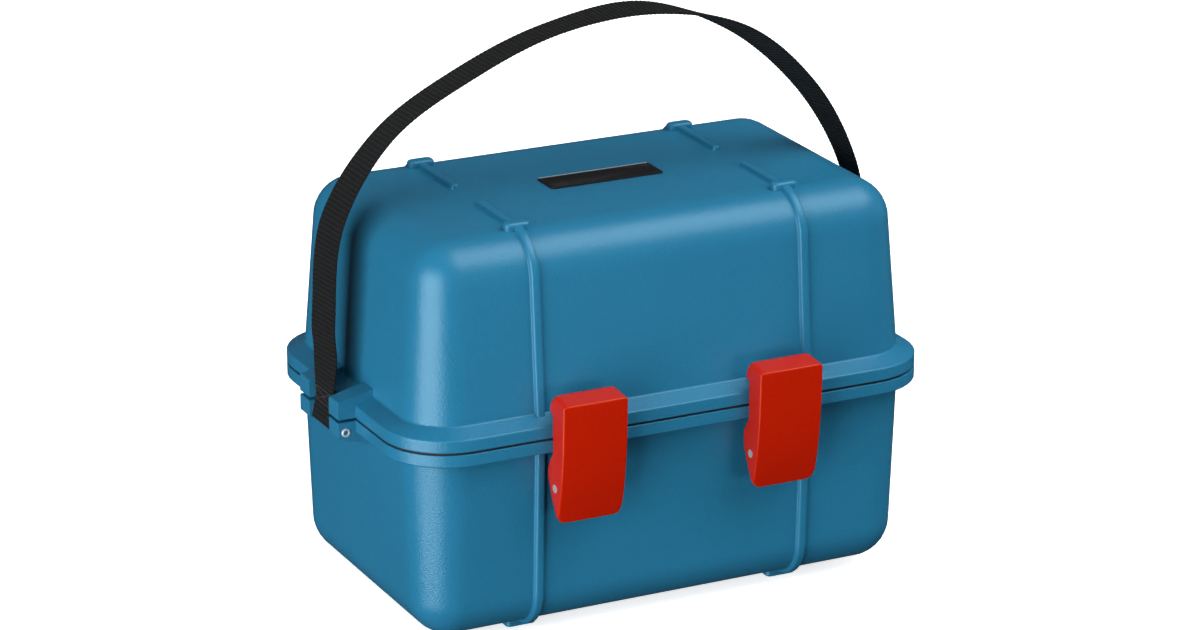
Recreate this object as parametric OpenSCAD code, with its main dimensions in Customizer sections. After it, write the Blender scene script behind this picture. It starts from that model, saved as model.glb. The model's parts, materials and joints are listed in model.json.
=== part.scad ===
// Carrying case for an automatic level: two moulded shells with a gasket, two draw latches,
// a webbing carrying strap, and a foam cradle inside.
// The origin is on the ground under the middle of the case. The latches face -Y.

/* [Shells] */
// Length of the rim, left to right
rim_l = 325; // [315:1:340]
// Depth of the rim, front to back
rim_w = 204; // [198:1:212]
// Height of the base from its underside to the joint line
base_h = 117; // [112:1:122]
// Height of the lid from the joint line to its top
lid_h = 109; // [104:1:114]
// How far the rim stands out from the walls
rim_out = 9.5; // [8.5:0.5:10.5]
// Wall thickness of both shells
wall = 3; // [2.6:0.1:3.4]
// Radius of the long edges of both shells
edge_r = 23.5; // [20:0.5:25]

/* [Ribs and feet] */
// Distance of the stacking ribs from the middle
rib_x = 82; // [80:1:86]
// Width of a stacking rib
rib_w = 5; // [4:0.5:6]
// Height of a stacking rib over the shell
rib_h = 2.6; // [2:0.1:3]
// Height of a foot under the base
foot_h = 5; // [4:0.5:6]
// Height of a stacking pad over the lid
pad_h = 4; // [3:0.5:4.5]

/* [Latches] */
// Distance of each latch from the middle
latch_x = 60; // [55:1:62]
// Width of a latch lever
lever_w = 39; // [36:1:40]
// Radius of the pin on which a lever turns
lever_pin_r = 2.4; // [2:0.1:2.6]
// Radius of the pin on which a link turns
link_pin_r = 1.6; // [1.4:0.1:1.8]

/* [Strap] */
// Width of the webbing
strap_w = 25; // [22:1:26]
// Thickness of the webbing
strap_t = 1.6; // [1.2:0.1:1.8]
// Height of the middle of the strap over the ground
strap_top = 326; // [305:1:345]
// Radius of the rivet that holds the strap's end
strap_pin_r = 2.2; // [2:0.1:2.4]

/* [Foam] */
// Thickness of the pad under the instrument
floor_pad = 25; // [20:1:28]
// Length of the instrument's pocket
pocket_l = 216; // [200:1:220]
// Width of the instrument's pocket and of the accessory pocket
pocket_w = 128; // [110:1:134]
// Length of the accessory pocket
accessory_l = 36; // [30:1:38]
// Thickness of the pad in the lid
lid_pad = 38; // [30:1:42]

/* [Hidden] */

shell_blue = [0.07, 0.34, 0.52];
latch_red = [0.72, 0.08, 0.03];
black = [0.05, 0.05, 0.06];
foam_grey = [0.16, 0.16, 0.17];
steel = [0.72, 0.72, 0.74];

$fn = 64;
hull_fn = 32;
slip = 0.02;          // fixed pin in its hole
run = 0.06;           // turning pin in its hole, on the radius
pin_end = 0.4;        // how far a pin's end stands out of its hole
over = 1;             // cutters pass their faces by this

// Heights
joint_z = foot_h + base_h;
seam_half = 0.9;      // half of the gap that the gasket fills
rim_top = joint_z - seam_half;
lid_rim_bottom = joint_z + seam_half;
lid_top = joint_z + lid_h;
base_band = 8;        // height of the base's rim
lid_band = 7.5;       // upright part of the lid's rim
flange_top = 11.3;    // where the lid's rim meets its wall, over the joint line

// Plan of the shells
rim_r = 38;
wall_l = rim_l - 2 * rim_out;
wall_w = rim_w - 2 * rim_out;
wall_r = rim_r - rim_out;
base_draft = 3.7;     // how far the base's walls lean in, on each side
lid_draft = 6.6;      // the same for the lid
front_y = -rim_w / 2;

// Tongue on the base that the lid's rim closes over
tongue_h = 4;
tongue_t = 1.6;
tongue_gap = 0.6;

// Stacking ribs, pads and feet
rib_start_y = 15;
pad_l = 18;
pad_w = 9;
pad_y = 64.5;
pad_root = 8;         // how far a pad or foot reaches into the shell

// Hinges
hinge_x = 75;
knuckle_r = 6;
hinge_y = 117 - knuckle_r;
knuckle_l = 12;
lid_knuckle_l = 15.4;
knuckle_gap = 0.3;
hinge_pin_r = 2;
hinge_half = lid_knuckle_l / 2 + knuckle_gap + knuckle_l;

// Strap lugs: the strap's leg passes between a front lug and a back lug at each end
strap_x = 168.5;
lug_end = 173;
lug_in = 14;          // inner face of a lug, from the middle
lug_out = 27;         // outer face of a lug
lug_tip_h = 10.7;     // height of a lug at its outer end
lug_root_h = 16.5;    // and where it meets the wall
strap_pin_drop = 6.8; // rivet's axis under the joint line
strap_head_r = 2.9;
strap_head_t = 0.8;
strap_axis_z = 142;   // the webbing bends here when it swings down
double_top = 134;     // the sewn double layer ends here
arch_z = 175;         // the straight legs end here
arch_steps = 40;

// Latches, as points [y, z]: the link turns on pivot, the lever turns on lever_axis
pivot = [-106.5, joint_z - 14];
lever_axis = [-105.5, joint_z - 27.5];
keeper_z = joint_z + 14;
keeper_w = 30;
hook_gap = 0.2;
plate_t = 2.5;        // thickness of the lever's walls
ear_x = 8.2;
ear_t = 4;
ear_r = 4;
link_w = 2 * ear_x - 0.4;
link_head_r = 4.2;
link_eye_r = 3.5;
link_t = 4.4;
side_gap = 0.3;

// Foam
foam_gap = 0.4;
floor_z = foot_h + wall;
cradle_z = floor_z + floor_pad;
cradle_top = joint_z - 10;
pocket_gap = 12;      // foam between the two pockets
pocket_r = 12;
pockets_l = pocket_l + pocket_gap + accessory_l;

// Label
label_l = 69;
label_w = 20.5;
label_t = 1;

// Rounded rectangle with true arcs
module plan(l, w, r) {
    square([l - 2 * r, w], center = true);
    square([l, w - 2 * r], center = true);
    for (x = [-1, 1], y = [-1, 1])
        translate([x * (l / 2 - r), y * (w / 2 - r)]) circle(r);
}

module slab(l, w, r, z0, z1) {
    translate([0, 0, z0]) linear_extrude(z1 - z0) plan(l, w, r);
}

// Tapered tub: upright corners at the open end, round edges at the closed end.
// grow moves every face out, lip is a straight stretch at the open end, way is -1 down or 1 up.
module tub(height, draft, grow, lip, way) {
    l = wall_l + 2 * grow;
    w = wall_w + 2 * grow;
    r = wall_r + grow;
    end_r = edge_r + grow;
    depth = height + grow - end_r;
    hull() for (x = [-1, 1], y = [-1, 1]) {
        translate([x * (l / 2 - r), y * (w / 2 - r), joint_z - (way > 0 ? lip : 0)])
            cylinder(r = r, h = lip, $fn = hull_fn);
        translate([x * (l / 2 - draft - end_r), y * (w / 2 - draft - end_r), joint_z + way * depth])
            sphere(r = end_r, $fn = hull_fn);
    }
}

module base_tub(grow, lip) { tub(base_h, base_draft, grow, lip, -1); }
module lid_tub(grow, lip) { tub(lid_h, lid_draft, grow, lip, 1); }

// The two lanes, left and right, in which the ribs run from front to back
module rib_lanes(z0, z1) {
    for (x = [-1, 1], y = [-1, 1])
        translate([x * rib_x - rib_w / 2, y > 0 ? rib_start_y : -rim_w, z0])
            cube([rib_w, rim_w - rib_start_y, z1 - z0]);
}

module pads(z0, z1) {
    for (x = [-1, 1], y = [-1, 1])
        translate([x * rib_x, y * pad_y, z0])
            linear_extrude(z1 - z0) plan(pad_l, pad_w, 2.5);
}

// Pairs of lugs at both ends. way is -1 for the base and 1 for the lid
module lugs(way) {
    root = wall_l / 2 - wall - over;
    near = joint_z + way * seam_half;
    side = [
        [root, near], [lug_end, near], [lug_end, joint_z + way * (lug_tip_h - 1.5)],
        [lug_end - 1.5, joint_z + way * lug_tip_h], [root, joint_z + way * lug_root_h]
    ];
    for (x = [-1, 1], y = [-1, 1])
        translate([0, y * (lug_in + lug_out) / 2, 0])
            rotate([90, 0, 0])
                linear_extrude(lug_out - lug_in, center = true)
                    polygon([for (p = side) [x * p[0], p[1]]]);
}

// A solid along X from a profile in the YZ plane, w wide about x
module along_x(x, w) {
    translate([x - w / 2, 0, 0]) rotate([90, 0, 90]) linear_extrude(w) children();
}

module rod_x(x, w, at, r) {
    along_x(x, w) translate(at) circle(r);
}

module knuckle(x, w, web_z, way) {
    hinge = [hinge_y, joint_z];
    rod_x(x, w, hinge, knuckle_r);
    along_x(x, w) polygon([
        [rim_w / 2 - 2, web_z], [rim_w / 2 - 2, web_z + way * 5.5],
        [hinge_y, joint_z + way * knuckle_r], [hinge_y, web_z]
    ]);
}

module base_knuckles() {
    for (side = [-1, 1], end = [-1, 1])
        knuckle(side * hinge_x + end * (hinge_half - knuckle_l / 2), knuckle_l, rim_top, -1);
}

module lid_knuckles() {
    for (side = [-1, 1])
        knuckle(side * hinge_x, lid_knuckle_l, lid_rim_bottom + knuckle_gap, 1);
}

module hinge_holes(r) {
    for (side = [-1, 1]) rod_x(side * hinge_x, 2 * hinge_half + 2 * over, [hinge_y, joint_z], r);
}

module latch_ears() {
    for (side = [-1, 1], end = [-1, 1])
        along_x(side * latch_x + end * (ear_x + ear_t / 2), ear_t) {
            translate(pivot) circle(ear_r);
            polygon([
                [-wall_w / 2 + wall + over, joint_z - base_band], [pivot[0] + 1, joint_z - base_band],
                pivot + [-3.6, 1.6], pivot + [-1.4, -3.6], [-wall_w / 2 + wall + over, joint_z - 27]
            ]);
        }
}

module base_shell() {
    color(shell_blue) difference() {
        union() {
            difference() {
                base_tub(0, seam_half);
                translate([0, 0, rim_top + rim_w / 2]) cube([rim_l, rim_w, rim_w], center = true);
            }
            intersection() {
                base_tub(rib_h, seam_half);
                rib_lanes(0, joint_z - base_band / 2);
            }
            pads(0, foot_h + pad_root);
            slab(rim_l, rim_w, rim_r, joint_z - base_band, rim_top);
            slab(wall_l - 2 * (wall - tongue_t), wall_w - 2 * (wall - tongue_t), wall_r - wall + tongue_t,
                 rim_top - over, joint_z + tongue_h);
            lugs(-1);
            base_knuckles();
            latch_ears();
        }
        base_tub(-wall, tongue_h + over);
        hinge_holes(hinge_pin_r + slip);
        for (side = [-1, 1]) {
            rod_x(side * latch_x, 2 * (ear_x + ear_t + over), pivot, link_pin_r + slip);
            strap_rod(side, 2 * (lug_out + over), strap_pin_r + slip);
        }
    }
}

module lid_shell() {
    flange_l = wall_l + 1;
    flange_w = wall_w + 1;
    keeper_back = wall_w / 2 - wall - over;
    color(shell_blue) difference() {
        union() {
            difference() {
                lid_tub(0, seam_half);
                translate([0, 0, lid_rim_bottom - rim_w / 2]) cube([rim_l, rim_w, rim_w], center = true);
            }
            intersection() {
                lid_tub(rib_h, seam_half);
                rib_lanes(joint_z + lid_band / 2, lid_top + pad_h);
            }
            pads(lid_top - pad_root, lid_top + pad_h);
            slab(rim_l, rim_w, rim_r, lid_rim_bottom, joint_z + lid_band);
            hull() {
                slab(rim_l, rim_w, rim_r, joint_z + lid_band - 0.5, joint_z + lid_band, $fn = hull_fn);
                slab(flange_l, flange_w, wall_r, joint_z + flange_top - 0.5, joint_z + flange_top,
                     $fn = hull_fn);
            }
            for (side = [-1, 1])
                translate([side * latch_x - keeper_w / 2, front_y, lid_rim_bottom])
                    cube([keeper_w, -front_y - keeper_back, keeper_z - lid_rim_bottom]);
            lugs(1);
            lid_knuckles();
        }
        lid_tub(-wall, seam_half + over);
        slab(wall_l - 2 * (wall - tongue_t - tongue_gap), wall_w - 2 * (wall - tongue_t - tongue_gap),
             wall_r - wall + tongue_t + tongue_gap, lid_rim_bottom - over, joint_z + tongue_h + tongue_gap);
        hinge_holes(hinge_pin_r + run);
        // room for the base's knuckles
        for (side = [-1, 1], end = [-1, 1])
            rod_x(side * hinge_x + end * (hinge_half - knuckle_l / 2), knuckle_l + 2 * knuckle_gap,
                  [hinge_y, joint_z], knuckle_r + 0.4);
    }
}

module rim_gasket() {
    inner = 2 * (wall - tongue_t - 0.6);
    color(black) difference() {
        slab(rim_l - 2.4, rim_w - 2.4, rim_r - 1.2, rim_top, lid_rim_bottom - 0.05);
        slab(wall_l - inner, wall_w - inner, wall_r - inner / 2, rim_top - over, lid_rim_bottom + over);
    }
}

module foam_floor() {
    color(foam_grey) intersection() {
        base_tub(-wall - foam_gap, seam_half);
        slab(rim_l, rim_w, rim_r, foot_h, cradle_z - foam_gap / 2);
    }
}

// Pocket centres, measured from the left end of the row of pockets
module pockets() {
    left = -pockets_l / 2;
    translate([left + pocket_l / 2, 0]) plan(pocket_l, pocket_w, pocket_r);
    translate([-left - accessory_l / 2, 0]) plan(accessory_l, pocket_w, pocket_r);
}

module foam_cradle() {
    color(foam_grey) difference() {
        intersection() {
            base_tub(-wall - foam_gap, seam_half);
            slab(rim_l, rim_w, rim_r, cradle_z, cradle_top);
        }
        translate([0, 0, cradle_z - over]) linear_extrude(base_h) pockets();
    }
}

module lid_foam() {
    color(foam_grey) intersection() {
        lid_tub(-wall - foam_gap, seam_half);
        slab(rim_l, rim_w, rim_r, lid_top - wall - lid_pad, lid_top);
    }
}

module label_plate() {
    color(black) slab(label_l, label_w, 1.2, lid_top, lid_top + label_t);
}

// Rod along Y at the strap rivet of one end
module strap_rod(side, l, r) {
    translate([side * strap_x, 0, joint_z - strap_pin_drop])
        rotate([90, 0, 0]) cylinder(r = r, h = l, center = true);
}

module strap_pin(side) {
    color(steel) difference() {
        union() {
            strap_rod(side, 2 * lug_out, strap_pin_r);
            for (end = [-1, 1])
                translate([0, end * (lug_out + strap_head_t / 2), 0]) strap_rod(side, strap_head_t, strap_head_r);
        }
        for (end = [-1, 1])
            translate([0, end * (lug_out + strap_head_t), 0]) strap_rod(side, 1.4, 1.3);
    }
}

module along_y(w) {
    rotate([90, 0, 0]) linear_extrude(w, center = true) children();
}

module strap_loop(side) {
    eye_r = strap_pin_r + 0.15;
    eye_z = joint_z - strap_pin_drop;
    color(black) along_y(strap_w) difference() {
        translate([side * strap_x, 0]) {
            translate([0, eye_z]) circle(eye_r + strap_t);
            translate([-strap_t, eye_z]) square([2 * strap_t, double_top - eye_z]);
            translate([-strap_t / 2, eye_z]) square([strap_t, strap_axis_z - eye_z]);
        }
        translate([side * strap_x, eye_z]) circle(eye_r);
    }
}

// Point of the webbing's middle line, moved out by d, at angle q of the half ellipse
function arch_point(q, d) =
    let (a = strap_x, b = strap_top - strap_t / 2 - arch_z)
    let (n = [cos(q) / a, sin(q) / b])
    [a * cos(q), arch_z + b * sin(q)] + d * n / norm(n);

module strap_webbing() {
    t = strap_t / 2;
    steps = [for (i = [0:arch_steps]) 180 * i / arch_steps];
    color(black) along_y(strap_w) polygon(concat(
        [[strap_x + t, strap_axis_z + 0.1]],
        [for (q = steps) arch_point(q, t)],
        [[-strap_x - t, strap_axis_z + 0.1], [-strap_x + t, strap_axis_z + 0.1]],
        [for (q = steps) arch_point(180 - q, -t)],
        [[strap_x - t, strap_axis_z + 0.1]]
    ));
}

module hinge_pin(side) {
    color(steel) rod_x(side * hinge_x, 2 * (hinge_half + pin_end), [hinge_y, joint_z], hinge_pin_r);
}

module latch_pivot_pin(side) {
    color(steel) rod_x(side * latch_x, 2 * (ear_x + ear_t + pin_end), pivot, link_pin_r);
}

module latch_link(side) {
    x = side * latch_x;
    head_w = lever_w - 2 * plate_t - 2 * side_gap;
    lean = atan2(pivot[0] - lever_axis[0], pivot[1] - lever_axis[1]);
    reach = norm(pivot - lever_axis);
    color(latch_red) difference() {
        union() {
            rod_x(x, link_w, pivot, link_eye_r);
            rod_x(x, head_w, lever_axis, link_head_r);
            along_x(x, link_w) translate(lever_axis) rotate(-lean) translate([-link_t / 2, 0])
                square([link_t, reach]);
        }
        rod_x(x, lever_w, pivot, link_pin_r + run);
        rod_x(x, lever_w, lever_axis, lever_pin_r + run);
    }
}

// The lever's front from top to bottom, as [y, z]
lever_front = [
    [-117, joint_z + 22.8], [-116.5, joint_z + 8], [-115.6, joint_z - 8],
    [-113.6, joint_z - 25], [-110.9, joint_z - 38], [-108.4, joint_z - 47.6]
];
// The rear edge of its side walls from bottom to top
lever_back = [
    [-105.8, joint_z - 46.4], [-101.6, joint_z - 36], [-98.4, joint_z - 29], [-96.4, joint_z - 23.5],
    [-95.6, joint_z - 18], [-95.8, joint_z - 13.8], [-98, joint_z - 11], [-102.6, joint_z - 8.6],
    [-102.6, keeper_z + hook_gap]
];
// The hook that reaches over the keeper
lever_hook = [
    [-99.2, keeper_z + hook_gap], [-99.2, joint_z + 20], [-100.4, joint_z + 23],
    [-102.4, joint_z + 24.6], [-104.6, joint_z + 25]
];

module latch_lever(side) {
    x = side * latch_x;
    n = len(lever_front) - 1;
    inner = [for (i = [n:-1:0]) lever_front[i] + [plate_t, 0]];
    color(latch_red) difference() {
        union() {
            along_x(x, lever_w) polygon(concat(lever_front, inner));
            for (end = [-1, 1])
                along_x(x + end * (lever_w - plate_t) / 2, plate_t)
                    polygon(concat(lever_front, lever_back, lever_hook));
            along_x(x, lever_w) polygon(concat(
                [lever_front[0], lever_front[0] + [0.4, -8], [-102.6, keeper_z + hook_gap]], lever_hook
            ));
        }
        rod_x(x, lever_w + over, lever_axis, lever_pin_r + slip);
    }
}

module latch_lever_pin(side) {
    color(steel) rod_x(side * latch_x, lever_w + 2 * pin_end, lever_axis, lever_pin_r);
}

base_shell();
rim_gasket();
foam_floor();
foam_cradle();
strap_pin(-1);  // strap_pin_left
strap_pin(1);  // strap_pin_right
strap_loop(-1);  // strap_loop_left
strap_loop(1);  // strap_loop_right
hinge_pin(-1);  // hinge_pin_left
hinge_pin(1);  // hinge_pin_right
latch_pivot_pin(-1);  // latch_pivot_pin_left
latch_pivot_pin(1);  // latch_pivot_pin_right
lid_shell();
lid_foam();
label_plate();
strap_webbing();
latch_link(-1);  // latch_link_left
latch_link(1);  // latch_link_right
latch_lever(-1);  // latch_lever_left
latch_lever(1);  // latch_lever_right
latch_lever_pin(-1);  // latch_lever_pin_left
latch_lever_pin(1);  // latch_lever_pin_right
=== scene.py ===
"""Looks of a hard carrying case for an automatic level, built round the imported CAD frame.

Lengths are in millimetres, from the frame's boxes and joints, up to Shape.make, which makes meshes
in metres.
"""
import json
import math

import bmesh
import bpy
from mathutils import Matrix, Vector
from mathutils.geometry import tessellate_polygon


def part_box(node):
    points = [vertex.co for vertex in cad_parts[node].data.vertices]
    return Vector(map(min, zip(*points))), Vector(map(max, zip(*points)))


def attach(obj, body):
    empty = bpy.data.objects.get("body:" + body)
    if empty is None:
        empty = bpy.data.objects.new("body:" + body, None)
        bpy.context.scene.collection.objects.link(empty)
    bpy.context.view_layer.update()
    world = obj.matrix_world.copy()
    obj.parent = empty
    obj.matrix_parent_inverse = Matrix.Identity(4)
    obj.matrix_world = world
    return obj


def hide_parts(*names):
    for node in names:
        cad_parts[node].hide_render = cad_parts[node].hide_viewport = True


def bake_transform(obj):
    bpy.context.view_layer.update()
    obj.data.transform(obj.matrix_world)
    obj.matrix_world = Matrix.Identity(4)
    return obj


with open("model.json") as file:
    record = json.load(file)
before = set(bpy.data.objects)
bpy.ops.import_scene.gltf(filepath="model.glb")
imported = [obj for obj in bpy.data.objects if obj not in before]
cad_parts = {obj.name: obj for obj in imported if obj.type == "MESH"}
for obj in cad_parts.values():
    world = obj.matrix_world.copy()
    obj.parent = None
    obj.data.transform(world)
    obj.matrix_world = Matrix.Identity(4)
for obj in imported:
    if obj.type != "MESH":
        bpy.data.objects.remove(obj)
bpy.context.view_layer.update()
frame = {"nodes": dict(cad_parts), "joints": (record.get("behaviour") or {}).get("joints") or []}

MM = 0.001
SIDES = {"left": -1, "right": 1}


def box_mm(node):
    low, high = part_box(node)
    return low / MM, high / MM


# Driving sizes, from the frame
JOINTS = {j["name"]: Vector(j["pos_m"]) / MM for j in frame["joints"]}
HINGE = JOINTS["lid_hinge"]
PIVOT = JOINTS["latch_right"]
LEVER_AXIS = JOINTS["lever_turn_right"]
JOINT_Z = HINGE.z
GASKET_LOW, GASKET_HIGH = box_mm("rim_gasket")
BASE_LOW, BASE_HIGH = box_mm("base_shell")
LID_HIGH = box_mm("lid_shell")[1]
LABEL_LOW, LABEL_HIGH = box_mm("label_plate")
CRADLE_LOW, CRADLE_HIGH = box_mm("foam_cradle")
FLOOR_LOW, FLOOR_HIGH = box_mm("foam_floor")
LID_FOAM_LOW, LID_FOAM_HIGH = box_mm("lid_foam")
WEB_LOW, WEB_HIGH = box_mm("strap_webbing")
RIVET_LOW, RIVET_HIGH = box_mm("strap_pin_right")
LEVER_LOW, LEVER_HIGH = box_mm("latch_lever_right")
LATCH_X = PIVOT.x
STRAP_X = (RIVET_LOW.x + RIVET_HIGH.x) / 2
RIVET_Z = (RIVET_LOW.z + RIVET_HIGH.z) / 2
STRAP_W = WEB_HIGH.y - WEB_LOW.y

# The shells. Offsets are measured outwards from the wall's outer face at the joint line.
RIM_OUT = 9.5
GASKET_IN = 1.2
WALL = 3.0
HALF_X = GASKET_HIGH.x + GASKET_IN - RIM_OUT
HALF_Y = GASKET_HIGH.y + GASKET_IN - RIM_OUT
CORNER_R = 28.5
EDGE_R = 23.5
FOOT_H = 5.0
RIM_TOP = GASKET_LOW.z
LID_RIM = 2 * JOINT_Z - RIM_TOP
BASE_BAND_Z = JOINT_Z - 8.0
LID_BAND_Z = JOINT_Z + 7.5
FLANGE_Z = JOINT_Z + 11.3
TONGUE_Z = JOINT_Z + 4.0
TONGUE_OFF = -1.4
RECESS_Z = JOINT_Z + 4.6
RECESS_OFF = -0.8
# How far each shell's wall leans in between the joint line and its long edge's arc
BASE_DRAFT, LID_DRAFT = 3.7, 6.6
BASE_ARC_Z = FOOT_H + EDGE_R
LID_TOP = LABEL_LOW.z
LID_ARC_Z = LID_TOP - EDGE_R
KEEPER_Z = JOINT_Z + 14
# Blocks on a shell start this far inside its wall
ROOT = HALF_Y - WALL - 0.5

RIB_X = 82.0
RIB_START = 15.0
PAD_Y = 64.5
# Half length, half width, corner radius and edge radius of the lid's pads (1) and the base's feet (-1)
PAD_SIZE = {1: (7.8, 4.0, 3.2, 2.0), -1: (9.0, 4.5, 2.5, 0.9)}

# The webbing: thickness, and spacing of its cross ribs and of its lengthwise yarns
STRAP_T = 1.6
RIB_PITCH = 2.65
YARN_PITCH = 1.2


# ---------------------------------------------------------------- mesh making

SHARP_EDGE = math.radians(20)
SMOOTH = 35.0
# Points along the long and the short sides of the shells' outline
LONG, SHORT = 36, 22


class Shape:
    """Points in millimetres and faces of one mesh, each face with a material number."""

    def __init__(self):
        self.points = []
        self.faces = []
        self.materials = []

    def add(self, points, faces, material=0):
        first = len(self.points)
        self.points.extend(Vector(p) for p in points)
        self.faces.extend([i + first for i in f] for f in faces)
        self.materials.extend([material] * len(faces))

    def loft(self, rings, start=True, end=True, material=0):
        """Quads between closed rings of equal length, with flat ends."""
        n = len(rings[0])
        faces = []
        for r in range(len(rings) - 1):
            for i in range(n):
                j = (i + 1) % n
                faces.append([r * n + i, r * n + j, (r + 1) * n + j, (r + 1) * n + i])
        if start:
            faces.append(list(range(n))[::-1])
        if end:
            faces.append([(len(rings) - 1) * n + i for i in range(n)])
        self.add([p for ring in rings for p in ring], faces, material)

    def grid(self, point, across, along):
        """A sheet of quads through point(i, j), for i in 0..across and j in 0..along."""
        points = [point(i, j) for j in range(along + 1) for i in range(across + 1)]
        row = across + 1
        faces = [
            [j * row + i, j * row + i + 1, (j + 1) * row + i + 1, (j + 1) * row + i]
            for j in range(along) for i in range(across)
        ]
        self.add(points, faces)

    def prism(self, side, put, low, high, bevel, segments=3):
        """A closed outline extruded from low to high, with its sharp edges rounded.
        put(u, v, w) gives the place of the outline's point (u, v) at height w."""
        bm = bmesh.new()
        n = len(side)
        bottom = [bm.verts.new(put(u, v, low)) for u, v in side]
        top = [bm.verts.new(put(u, v, high)) for u, v in side]
        bm.faces.new(bottom)
        bm.faces.new(top[::-1])
        for i in range(n):
            j = (i + 1) % n
            bm.faces.new([bottom[i], top[i], top[j], bottom[j]])
        bmesh.ops.recalc_face_normals(bm, faces=bm.faces)
        sharp = [e for e in bm.edges if e.calc_face_angle(0) > SHARP_EDGE]
        bmesh.ops.bevel(bm, geom=sharp, offset=bevel, offset_type="OFFSET", segments=segments,
                        profile=0.5, affect="EDGES", clamp_overlap=True)
        bm.verts.index_update()
        self.add([v.co.copy() for v in bm.verts], [[v.index for v in f.verts] for f in bm.faces])
        bm.free()

    def make(self, name, materials, smooth=SMOOTH, merge=0.002):
        """One object in metres. Points closer than merge become one, and edges bent by less
        than smooth degrees are shaded smooth."""
        bm = bmesh.new()
        verts = [bm.verts.new(p * MM) for p in self.points]
        bm.verts.ensure_lookup_table()
        for face, material in zip(self.faces, self.materials):
            try:
                f = bm.faces.new([verts[i] for i in face])
            except ValueError:
                continue
            f.material_index = material
        bmesh.ops.remove_doubles(bm, verts=bm.verts, dist=merge * MM)
        bmesh.ops.dissolve_degenerate(bm, edges=bm.edges, dist=merge * MM)
        bmesh.ops.recalc_face_normals(bm, faces=bm.faces)
        mesh = bpy.data.meshes.new(name)
        bm.to_mesh(mesh)
        bm.free()
        obj = bpy.data.objects.new(name, mesh)
        bpy.context.scene.collection.objects.link(obj)
        for m in materials:
            mesh.materials.append(m)
        shade(obj, smooth)
        return obj


def shade(obj, smooth=SMOOTH):
    obj.data.shade_smooth()
    obj.data.set_sharp_from_angle(angle=math.radians(smooth))
    weighted = obj.modifiers.new("normals", "WEIGHTED_NORMAL")
    weighted.keep_sharp = True


def rounded(path, steps=4, closed=False):
    """(u, v, radius) corners to a list of (u, v) with arcs in the corners."""
    out = []
    n = len(path)
    for i, (u, v, r) in enumerate(path):
        end = not closed and i in (0, n - 1)
        if r <= 0 or end:
            out.append((u, v))
            continue
        here = Vector((u, v))
        back = (Vector(path[i - 1][:2]) - here)
        ahead = (Vector(path[(i + 1) % n][:2]) - here)
        half = back.angle(ahead) / 2
        reach = min(r / math.tan(half), 0.49 * back.length, 0.49 * ahead.length)
        r = reach * math.tan(half)
        back.normalize()
        ahead.normalize()
        centre = here + (back + ahead).normalized() * (r / math.sin(half))
        a = here + back * reach - centre
        b = here + ahead * reach - centre
        turn = a.angle(b)
        for k in range(steps + 1):
            t = k / steps
            p = (a * math.sin((1 - t) * turn) + b * math.sin(t * turn)) / math.sin(turn)
            out.append(tuple(centre + p))
    return out


def spline(points, steps):
    """A smooth curve through the points, steps points to a span."""
    pts = [Vector(p) for p in points]
    pts = [2 * pts[0] - pts[1]] + pts + [2 * pts[-1] - pts[-2]]
    out = []
    for i in range(1, len(pts) - 2):
        a, b, c, d = pts[i - 1:i + 3]
        for k in range(steps):
            t = k / steps
            out.append(0.5 * ((2 * b) + (c - a) * t + (2 * a - 5 * b + 4 * c - d) * t * t
                              + (3 * b - a - 3 * c + d) * t ** 3))
    out.append(pts[-2])
    return out


def outline(a, b, r, z, corner=10, long=LONG, short=SHORT, centre=(0, 0)):
    """Rounded rectangle of half sizes a and b as one ring of points."""
    r = max(r, 0.0)

    def on_corner(quarter, angle):
        sx, sy = ((1, 1), (-1, 1), (-1, -1), (1, -1))[quarter % 4]
        return Vector((centre[0] + sx * (a - r) + r * math.cos(angle),
                       centre[1] + sy * (b - r) + r * math.sin(angle), z))

    ring = []
    for quarter in range(4):
        ring += [on_corner(quarter, math.pi / 2 * (quarter + k / corner)) for k in range(corner + 1)]
        start, stop = ring[-1], on_corner(quarter + 1, math.pi / 2 * (quarter + 1))
        steps = (long, short)[quarter % 2]
        ring += [start.lerp(stop, k / steps) for k in range(1, steps)]
    return ring


def small_outline(a, b, r, z, centre, corner=5):
    return outline(a, b, r, z, corner, 2, 2, centre)


# ---------------------------------------------------------------- materials

def new_material(name):
    """A material with its nodes, links and Principled shader."""
    m = bpy.data.materials.new(name)
    m.use_nodes = True
    nodes, links = m.node_tree.nodes, m.node_tree.links
    return m, nodes, links, nodes["Principled BSDF"]


def noise_node(nodes, links, coords, scale, detail=4.0, rough=0.55):
    n = nodes.new("ShaderNodeTexNoise")
    n.inputs["Scale"].default_value = scale
    n.inputs["Detail"].default_value = detail
    n.inputs["Roughness"].default_value = rough
    links.new(coords, n.inputs["Vector"])
    return n.outputs["Fac"]


def map_range(nodes, links, value, low, high, to_low, to_high):
    n = nodes.new("ShaderNodeMapRange")
    for key, v in (("From Min", low), ("From Max", high), ("To Min", to_low), ("To Max", to_high)):
        n.inputs[key].default_value = v
    links.new(value, n.inputs["Value"])
    return n.outputs["Result"]


def mix_colour(nodes, links, factor, a, b):
    n = nodes.new("ShaderNodeMix")
    n.data_type = "RGBA"
    links.new(factor, n.inputs["Factor"])
    for socket, value in ((n.inputs["A"], a), (n.inputs["B"], b)):
        if isinstance(value, tuple):
            socket.default_value = (*value, 1)
        else:
            links.new(value, socket)
    return n.outputs["Result"]


def math_node(nodes, links, operation, a, b=None):
    n = nodes.new("ShaderNodeMath")
    n.operation = operation
    for socket, value in zip(n.inputs, (a, b)):
        if value is None:
            continue
        if isinstance(value, (int, float)):
            socket.default_value = value
        else:
            links.new(value, socket)
    return n.outputs["Value"]


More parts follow.
